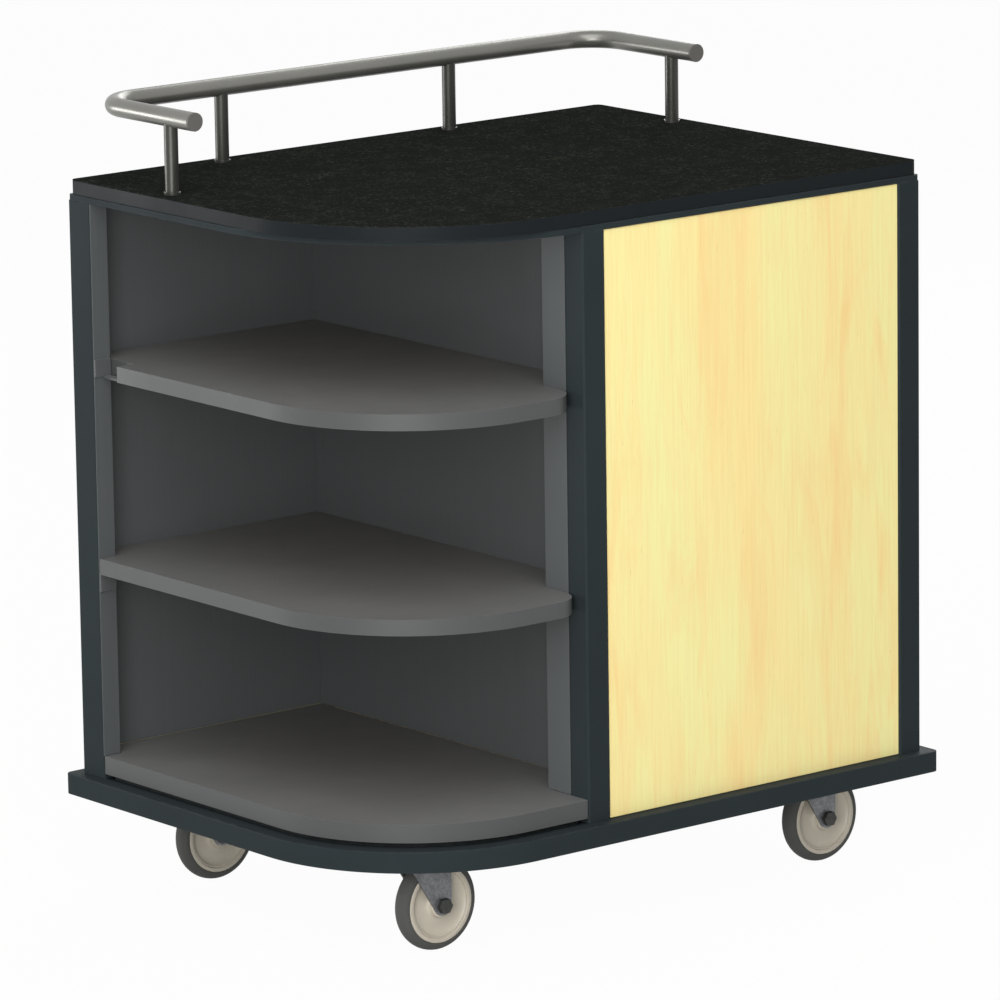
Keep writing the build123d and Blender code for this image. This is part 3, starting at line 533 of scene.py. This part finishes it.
# %% Make the zinc plate, fresh and dark
def make_plated(name, dark, light, stained, roughness):
    """Plated steel: a fine crystal spangle, dull patches and a slightly uneven roughness."""
    material, tree, shader = start_material(name, Metallic=0.7, Specular_IOR_Level=0.3)
    spangle = add_node(tree, "ShaderNodeTexVoronoi", {"Vector": piece_point(tree), "Scale": 340.0})
    tone = add_node(tree, "ShaderNodeSeparateColor", {0: spangle.outputs["Color"]}).outputs[0]
    colour = blend_colour(tree, multiply(tree, tone, 0.6), dark, light)
    dull = remap(tree, noise(tree, piece_point(tree), 24.0, 5.0, 0.65), 0.45, 0.75)
    colour = blend_colour(tree, multiply(tree, dull, 0.45), colour, stained)
    worn = use_group(tree, wear_tree, Width=0.0012, Amount=0.4, Breakup_scale=160.0)
    colour = blend_colour(tree, worn, colour, light)
    tree.links.new(colour, shader.inputs["Base Color"])
    set_roughness(tree, shader, roughness, multiply(tree, dull, 0.18), multiply(tree, tone, 0.06))
    set_bump(tree, shader, use_group(tree, grain_tree, Scale=900.0), 0.0002, 0.3)
    print(name + ":", len(tree.nodes), "nodes")
    return material


zinc = make_plated(
    "zinc plate",
    screen_colour(104, 105, 108),
    screen_colour(140, 141, 144),
    screen_colour(84, 82, 79),
    0.4,
)
bolt_steel = make_plated(
    "dull bolt steel",
    screen_colour(58, 59, 57),
    screen_colour(86, 87, 83),
    screen_colour(48, 46, 42),
    0.46,
)

# %% [markdown]
# ## Satin nickel rail
# The guard rail and its posts are round tube with a satin nickel finish. The fine lines of the rail
# turn with its bends, so its brushing has no one direction, while that of the posts is upright.
# Hands keep the tube smooth in places, so the roughness varies slowly. The posts get a much darker copy
# of the same nickel, which is painted shade.


# %% Make the satin nickel of the rail and of its posts
def make_nickel(name, stretch, dark, light):
    """Satin nickel tube, brushed so that its lines run along the small stretch value."""
    material, tree, shader = start_material(name, Metallic=0.6, Specular_IOR_Level=0.3)
    lines = use_group(tree, brush_tree, Stretch=stretch)
    colour = blend_colour(tree, lines, dark, light)
    shade = remap(tree, noise(tree, piece_point(tree), 9.0, 4.0, 0.55), 0.4, 0.75)
    colour = blend_colour(tree, multiply(tree, shade, 0.35), colour, darkened(dark, 0.8))
    tree.links.new(colour, shader.inputs["Base Color"])
    set_roughness(tree, shader, 0.34, use_group(tree, smudge_tree, Scale=14.0, Contrast=0.3))
    set_bump(tree, shader, lines, 0.0001, 0.3)
    print(name + ":", len(tree.nodes), "nodes")
    return material


EVEN_LINES = (420.0, 420.0, 420.0)
POST_LINES = (700.0, 700.0, 12.0)
nickel = make_nickel(
    "satin nickel rail", EVEN_LINES, screen_colour(112, 112, 107), screen_colour(132, 131, 126)
)
# Painted shade: the posts are the rail's nickel made much darker, to stand in for the shade on the
# upright tubes.
post_nickel_in_painted_shade = make_nickel(
    "satin nickel posts", POST_LINES, screen_colour(60, 60, 57), screen_colour(74, 74, 70)
)

# %% [markdown]
# ## Plastics, rubber and bronze
# The last finishes are on small pieces: dark caps in the rail, pale moulded wheels, grey rubber
# tread, a white magnet case and a bronze bush. They are simple, but each keeps its own grain and
# its own wear, because they are the pieces that a viewer looks at from close by.


# %% Make the moulded finishes
def make_moulded(name, colour, worn_colour, roughness, grain_scale, grain_depth, **values):
    """A moulded or sintered finish: a slightly uneven colour, worn edges, dust and a fine grain."""
    material, tree, shader = start_material(name, **values)
    cloudy = noise(tree, piece_point(tree), 30.0, 5.0, 0.6)
    mixed = blend_colour(tree, cloudy, darkened(colour, 0.78), colour)
    worn = use_group(tree, wear_tree, Width=0.0012, Amount=0.5, Breakup_scale=140.0)
    mixed = blend_colour(tree, worn, mixed, worn_colour)
    dust_and_top_light = use_group(tree, dust_and_top_light_tree, Amount=0.2, Scale=40.0)
    mixed = blend_colour(tree, dust_and_top_light, mixed, screen_colour(150, 146, 138))
    tree.links.new(mixed, shader.inputs["Base Color"])
    set_roughness(tree, shader, roughness, use_group(tree, smudge_tree, Scale=25.0, Contrast=0.25))
    set_bump(tree, shader, use_group(tree, grain_tree, Scale=grain_scale), grain_depth, 0.4)
    print(name + ":", len(tree.nodes), "nodes")
    return material


cap_plastic = make_moulded(
    "dark cap plastic", screen_colour(92, 90, 86), screen_colour(120, 118, 112), 0.5, 900.0, 0.0002
)
wheel_plastic = make_moulded(
    "pale wheel plastic", screen_colour(200, 192, 176), screen_colour(218, 212, 200), 0.42, 800.0, 0.0002
)
tread_rubber = make_moulded(
    "grey tread rubber",
    screen_colour(78, 79, 76),
    screen_colour(98, 98, 93),
    0.72,
    1300.0,
    0.0003,
    Specular_IOR_Level=0.3,
)
magnet_plastic = make_moulded(
    "white magnet case", screen_colour(214, 212, 205), screen_colour(228, 226, 220), 0.45, 1000.0, 0.0001
)
bronze = make_moulded(
    "sintered bronze",
    screen_colour(176, 138, 84),
    screen_colour(206, 170, 112),
    0.4,
    1500.0,
    0.0002,
    Metallic=0.9,
)

# %% [markdown]
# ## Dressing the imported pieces
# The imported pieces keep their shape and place, and only get a material. A real board or folded
# sheet never has a knife-sharp edge, so each piece also gets a small rounding. It is a modifier,
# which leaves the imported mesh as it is: the points are first joined, then the sharp edges are
# rounded, and the weighted normals keep the flat faces flat.

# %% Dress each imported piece
SHARP_ANGLE = math.radians(32)
JOIN_DISTANCE = 0.00001
ROUNDING_STEPS = 2


def dress(name, material, rounding):
    """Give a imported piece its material, and round its sharp edges by a length in metres."""
    piece = cart[name]
    piece.data.materials.clear()
    piece.data.materials.append(material)
    joined = piece.modifiers.new("join points", "WELD")
    joined.merge_threshold = JOIN_DISTANCE
    bevel = piece.modifiers.new("soft edges", "BEVEL")
    bevel.width = rounding
    bevel.segments = ROUNDING_STEPS
    bevel.limit_method = "ANGLE"
    bevel.angle_limit = SHARP_ANGLE
    weighted = piece.modifiers.new("flat faces", "WEIGHTED_NORMAL")
    weighted.keep_sharp = True


CORNERS = ("front_left", "front_right", "rear_left", "rear_right")
finishes = {
    powder_coat: (
        0.0008,
        "base_plate base_skirt left_rear_post middle_front_post right_front_post right_rear_post"
        " middle_rear_post top_frame",
    ),
    stone: (0.0004, "counter_laminate"),
    edge_band: (0.0005, "counter_edge_band"),
    board: (0.0003, "lower_shelf_core upper_shelf_core counter_core partition_board"),
    board_in_painted_shade: (0.0003, "bottom_deck_core"),
    standing_maple: (0.0007, "front_panel right_panel rear_panel rear_door"),
    lying_maple: (0.0007, "cabinet_floor cabinet_shelf"),
    wall_sheet: (0.0005, "back_wall partition_face"),
    shelf_sheet: (0.0018, "bottom_deck lower_shelf upper_shelf"),
    support_sheet: (0.0005, "shelf_supports"),
    nickel: (0.0004, "guard_rail"),
    post_nickel_in_painted_shade: (0.0004, "guard_rail_posts"),
    cap_plastic: (0.0006, "guard_rail_end_caps"),
    magnet_plastic: (0.0008, "door_catch"),
    zinc: (
        0.0004,
        "caster_plates caster_bolts caster_kingpins hinge_post_leaves hinge_door_leaves hinge_pins"
        " door_pull door_strike cabinet_shelf_clips",
    ),
}
for material, (rounding, names) in finishes.items():
    for name in names.split():
        dress(name, material, rounding)
for corner in CORNERS:
    dress("caster_fork_" + corner, zinc, 0.0007)
    dress("caster_axle_" + corner, bolt_steel, 0.0006)
    dress("caster_bush_" + corner, bronze, 0.0003)
    dress("caster_wheel_" + corner, wheel_plastic, 0.0008)
    dress("caster_tyre_" + corner, tread_rubber, 0.0008)
bare = [name for name, piece in cart.items() if not piece.modifiers]
print("dressed", len(cart) - len(bare), "pieces, bare:", bare)

# %% [markdown]
# ## Finer wheels
# A moulded wheel is never a stack of plain steps: its web is dished, its rim has a rounded lip with
# a groove inside it, and the boss runs out in a soft fillet. The tyre is crowned, and the mould
# leaves a thin line round its middle. All of them are bodies of revolution, so half a section is
# drawn once as radius and width, and turned about the axle. Each finer piece takes the place of the
# packed one and rolls with the same body.

# %% Turn the wheels and the tyres
TURN_STEPS = 96
TURNED_SHARP_ANGLE = math.radians(40)
MILLIMETRE = 0.001


def whole_section(half):
    """The half of a section on one side of the wheel's middle, with its mirror image after it."""
    return half + [(radius, -width) for radius, width in reversed(half)]


def turned_piece(name, section, centre, material, body, replaced):
    """Turn a closed section, in millimetres, about a line along Y, and put it on a body."""
    points = []
    for step in range(TURN_STEPS):
        angle = 2 * math.pi * step / TURN_STEPS
        for radius, width in section:
            out = radius * MILLIMETRE
            point = Vector((out * math.cos(angle), width * MILLIMETRE, out * math.sin(angle)))
            points.append(centre + point)
    count = len(section)
    faces = []
    for step in range(TURN_STEPS):
        here, there = step * count, (step + 1) % TURN_STEPS * count
        for index in range(count):
            after = (index + 1) % count
            faces.append((here + index, here + after, there + after, there + index))
    mesh = bpy.data.meshes.new(name)
    mesh.from_pydata(points, [], faces)
    shape = bmesh.new()
    shape.from_mesh(mesh)
    bmesh.ops.recalc_face_normals(shape, faces=shape.faces)
    shape.to_mesh(mesh)
    shape.free()
    mesh.shade_smooth()
    mesh.set_sharp_from_angle(angle=TURNED_SHARP_ANGLE)
    mesh.materials.append(material)
    piece = bpy.data.objects.new(name, mesh)
    bpy.context.scene.collection.objects.link(piece)
    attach(piece, body)
    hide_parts(replaced)


# From the bore outwards: boss, fillet, dished web, rise to the rim, groove, lip and seat.
wheel_half = [
    (9.1, 0.0), (9.1, 14.4), (9.7, 15.1), (16.0, 15.1), (16.8, 14.5), (17.1, 12.0), (17.8, 9.6),
    (19.4, 8.0), (22.0, 7.2), (27.0, 6.6), (33.0, 6.4), (38.0, 6.9), (41.6, 8.2), (43.6, 9.9),
    (44.5, 10.9), (45.2, 10.7), (45.7, 10.2), (46.2, 10.7), (46.5, 12.2), (47.1, 12.8), (48.0, 13.0),
    (51.0, 13.0), (51.8, 12.8), (52.2, 12.2), (52.3, 0.0),
]
tyre_half = [
    (52.5, 0.0), (52.5, 12.4), (52.9, 12.9), (54.0, 12.9), (56.2, 12.5), (58.2, 11.5), (60.0, 9.9),
    (61.4, 8.0), (62.5, 5.8), (63.1, 3.6), (63.4, 1.6), (63.5, 0.7), (63.5, 0.45), (63.3, 0.3),
    (63.3, 0.0),
]
for corner in CORNERS:
    low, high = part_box("caster_wheel_" + corner)
    axle_middle = (Vector(low) + Vector(high)) / 2
    spinning = "wheel_" + corner
    turned_piece(
        "turned_wheel_" + corner,
        whole_section(wheel_half),
        axle_middle,
        wheel_plastic,
        spinning,
        "caster_wheel_" + corner,
    )
    turned_piece(
        "turned_tyre_" + corner,
        whole_section(tyre_half),
        axle_middle,
        tread_rubber,
        spinning,
        "caster_tyre_" + corner,
    )
print("turned", 2 * len(CORNERS), "pieces of", TURN_STEPS, "steps")

# %% [markdown]
# ## Screws in the hinges and the cup pull
# Small screws hold the rear fittings. Nobody sees a screw's thread, so only its head is made: the
# rim of the head and the outline of its cross are joined by one ring of faces, which makes a shallow
# dome, and the cross is then sunk into it. Each head rides on the same body as the plate it holds.

# %% Make one screw head
HEAD_STEPS = 32
HEAD_RISE = 0.28
SLOT_HALF = 0.14
SLOT_REACH = 0.6
SLOT_DEPTH = 0.24


def screw_head(name, place, outward, radius, turned, body):
    """A screw head with a sunk cross, its rim centred on a place, its measures shares of the radius."""
    shape = bmesh.new()
    rim = []
    for step in range(HEAD_STEPS):
        angle = 2 * math.pi * step / HEAD_STEPS
        rim.append(shape.verts.new((math.cos(angle), math.sin(angle), 0)))
    cross = []
    for quarter in range(4):
        turn = Matrix.Rotation(quarter * math.pi / 2, 3, "Z")
        for x, y in ((SLOT_HALF, SLOT_HALF), (SLOT_HALF, SLOT_REACH), (-SLOT_HALF, SLOT_REACH)):
            cross.append(turn @ Vector((x, y, HEAD_RISE)))
    upper = [shape.verts.new(point) for point in cross]
    lower = [shape.verts.new(point - Vector((0, 0, SLOT_DEPTH))) for point in cross]
    outlines = []
    for loop in (rim, upper):
        outlines += [shape.edges.new((loop[index - 1], loop[index])) for index in range(len(loop))]
    bmesh.ops.triangle_fill(shape, edges=outlines, use_beauty=True)
    for index in range(len(upper)):
        shape.faces.new((upper[index - 1], upper[index], lower[index], lower[index - 1]))
    shape.faces.new(lower)
    bmesh.ops.recalc_face_normals(shape, faces=shape.faces)
    mesh = bpy.data.meshes.new(name)
    shape.to_mesh(mesh)
    shape.free()
    mesh.materials.append(zinc)
    head = bpy.data.objects.new(name, mesh)
    facing = outward.to_track_quat("Z", "Y").to_matrix().to_4x4()
    spin = Matrix.Rotation(math.radians(turned), 4, "Z")
    mesh.transform(Matrix.Translation(place) @ facing @ spin @ Matrix.Scale(radius, 4))
    bpy.context.scene.collection.objects.link(head)
    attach(head, body)


# %% [markdown]
# ### Where the screws sit
# Each hinge leaf has three screws in a row, and the cup pull has one above and one below its cup.
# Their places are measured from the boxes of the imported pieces, so they move with those pieces if
# a size changes. The crosses stand at different angles, because a screw stops where it is tight.

# %% Set the screws in the hinges and the pull
HINGE_SCREW = 0.0034
PULL_SCREW = 0.0018
LEAF_EDGE = 0.0125
LEAF_HEIGHT = 0.064
LEAF_THICKNESS = 0.002
SCREW_PITCH = 0.34 * LEAF_HEIGHT
PULL_EDGE = 0.003
FIRST_TURN, NEXT_TURN = 17, 31
REARWARD = Vector((0, 1, 0))
screw_places = []
for node, body in (("hinge_post_leaves", "cart"), ("hinge_door_leaves", "door")):
    low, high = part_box(node)
    screw_x = high.x - LEAF_EDGE if body == "cart" else low.x + LEAF_EDGE
    for leaf_middle in (low.z + LEAF_HEIGHT / 2, high.z - LEAF_HEIGHT / 2):
        for step in (-1, 0, 1):
            level = leaf_middle + step * SCREW_PITCH
            place = Vector((screw_x, low.y + LEAF_THICKNESS, level))
            screw_places.append(("hinge_screw", place, HINGE_SCREW, body))
low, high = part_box("door_pull")
for level in (low.z + PULL_EDGE, high.z - PULL_EDGE):
    place = Vector(((low.x + high.x) / 2, high.y, level))
    screw_places.append(("pull_screw", place, PULL_SCREW, "door"))
for number, (kind, place, radius, body) in enumerate(screw_places):
    turned = FIRST_TURN + NEXT_TURN * number
    screw_head(f"{kind}_{number}", place, REARWARD, radius, turned, body)
print("set", len(screw_places), "screws")

# %% [markdown]
# ## Floor and backdrop
# The picture shows the cart on white. A pale floor with only lamp light on it would look grey, and
# more light would burn out the maple. So the floor and the sky show themselves as white only to
# rays that come from the camera, from glossy metal or through glass. The floor keeps a share of
# its real shading, and with it the shadow of the cart.

# %% Build the floor and the sky
FLOOR_SIZE = 60.0
AMBIENT = 0.34
FLOOR_WHITE_SHARE = 0.97
WHITE = (1, 1, 1, 1)


def seen_directly(tree):
    """One for rays from the camera, from a glossy surface or through glass, otherwise zero."""
    path = tree.nodes.new("ShaderNodeLightPath").outputs
    seen = path["Is Camera Ray"]
    for other in ("Is Glossy Ray", "Is Transmission Ray"):
        seen = add_node(
            tree, "ShaderNodeMath", {0: seen, 1: path[other]}, operation="MAXIMUM"
        ).outputs[0]
    return seen


floor_mesh = bpy.data.meshes.new("studio floor")
half = FLOOR_SIZE / 2
floor_corners = [(-half, -half, 0), (half, -half, 0), (half, half, 0), (-half, half, 0)]
floor_mesh.from_pydata(floor_corners, [], [(0, 1, 2, 3)])
floor = bpy.data.objects.new("studio_floor", floor_mesh)
bpy.context.scene.collection.objects.link(floor)
floor_material, tree, shader = start_material("pale floor", Roughness=0.9, Specular_IOR_Level=0.0)
floor_tone = noise(tree, piece_point(tree), 1.2, 3.0, 0.5)
floor_colour = blend_colour(
    tree, floor_tone, screen_colour(182, 182, 182), screen_colour(190, 190, 190)
)
tree.links.new(floor_colour, shader.inputs["Base Color"])
white = add_node(tree, "ShaderNodeEmission", {"Color": WHITE, "Strength": 1.0})
share = multiply(tree, seen_directly(tree), FLOOR_WHITE_SHARE)
mixed = add_node(tree, "ShaderNodeMixShader", {0: share, 1: shader.outputs[0], 2: white.outputs[0]})
tree.links.new(mixed.outputs[0], tree.nodes["Material Output"].inputs["Surface"])
floor_mesh.materials.append(floor_material)

world = bpy.data.worlds.new("studio sky")
world.use_nodes = True
tree = world.node_tree
sky = tree.nodes["Background"]
sky.inputs["Color"].default_value = WHITE
strength = remap(tree, seen_directly(tree), 0.0, 1.0, AMBIENT, 1.0)
tree.links.new(strength, sky.inputs["Strength"])
bpy.context.scene.world = world
print("floor", FLOOR_SIZE, "m wide, ambient light", AMBIENT)

# %% [markdown]
# ## Soft studio lamps
# Large area lamps give soft shadows. The bays of the open end are deep, so the key lamp stands low
# at the front left and shines straight into them. A high lamp lights the counter and the front
# halves of the shelves, which leaves their backs in shade. A small one at the far left draws a sheen
# on the left edges, and one behind keeps the back readable in the other views.


# %% Hang the lamps
def hang_lamp(name, azimuth, elevation, distance, size, watts):
    """A square area lamp that faces the middle of the cart."""
    data = bpy.data.lights.new(name, "AREA")
    data.size = size
    data.energy = watts
    lamp = bpy.data.objects.new(name, data)
    middle = (cad_low + cad_high) / 2
    away = direction(math.radians(azimuth), math.radians(elevation))
    lamp.location = middle + away * distance
    lamp.rotation_mode = "QUATERNION"
    lamp.rotation_quaternion = (-away).to_track_quat("-Z", "Y")
    bpy.context.scene.collection.objects.link(lamp)
    return lamp


lamps = [
    hang_lamp("low key lamp", -48, 8, 4.6, 2.4, 124),
    hang_lamp("high lamp", -44, 50, 4.6, 4.2, 152),
    hang_lamp("left lamp", -141, 2, 4.6, 1.1, 62),
    hang_lamp("back lamp", 120, 30, 5.0, 3.0, 105),
]
print("lamps:", [(lamp.name, round(lamp.data.energy)) for lamp in lamps])

# %% [markdown]
# ## Colour
# The Standard view shows a colour about as it was written.

# %% Set the view
bpy.context.scene.view_settings.view_transform = "Standard"
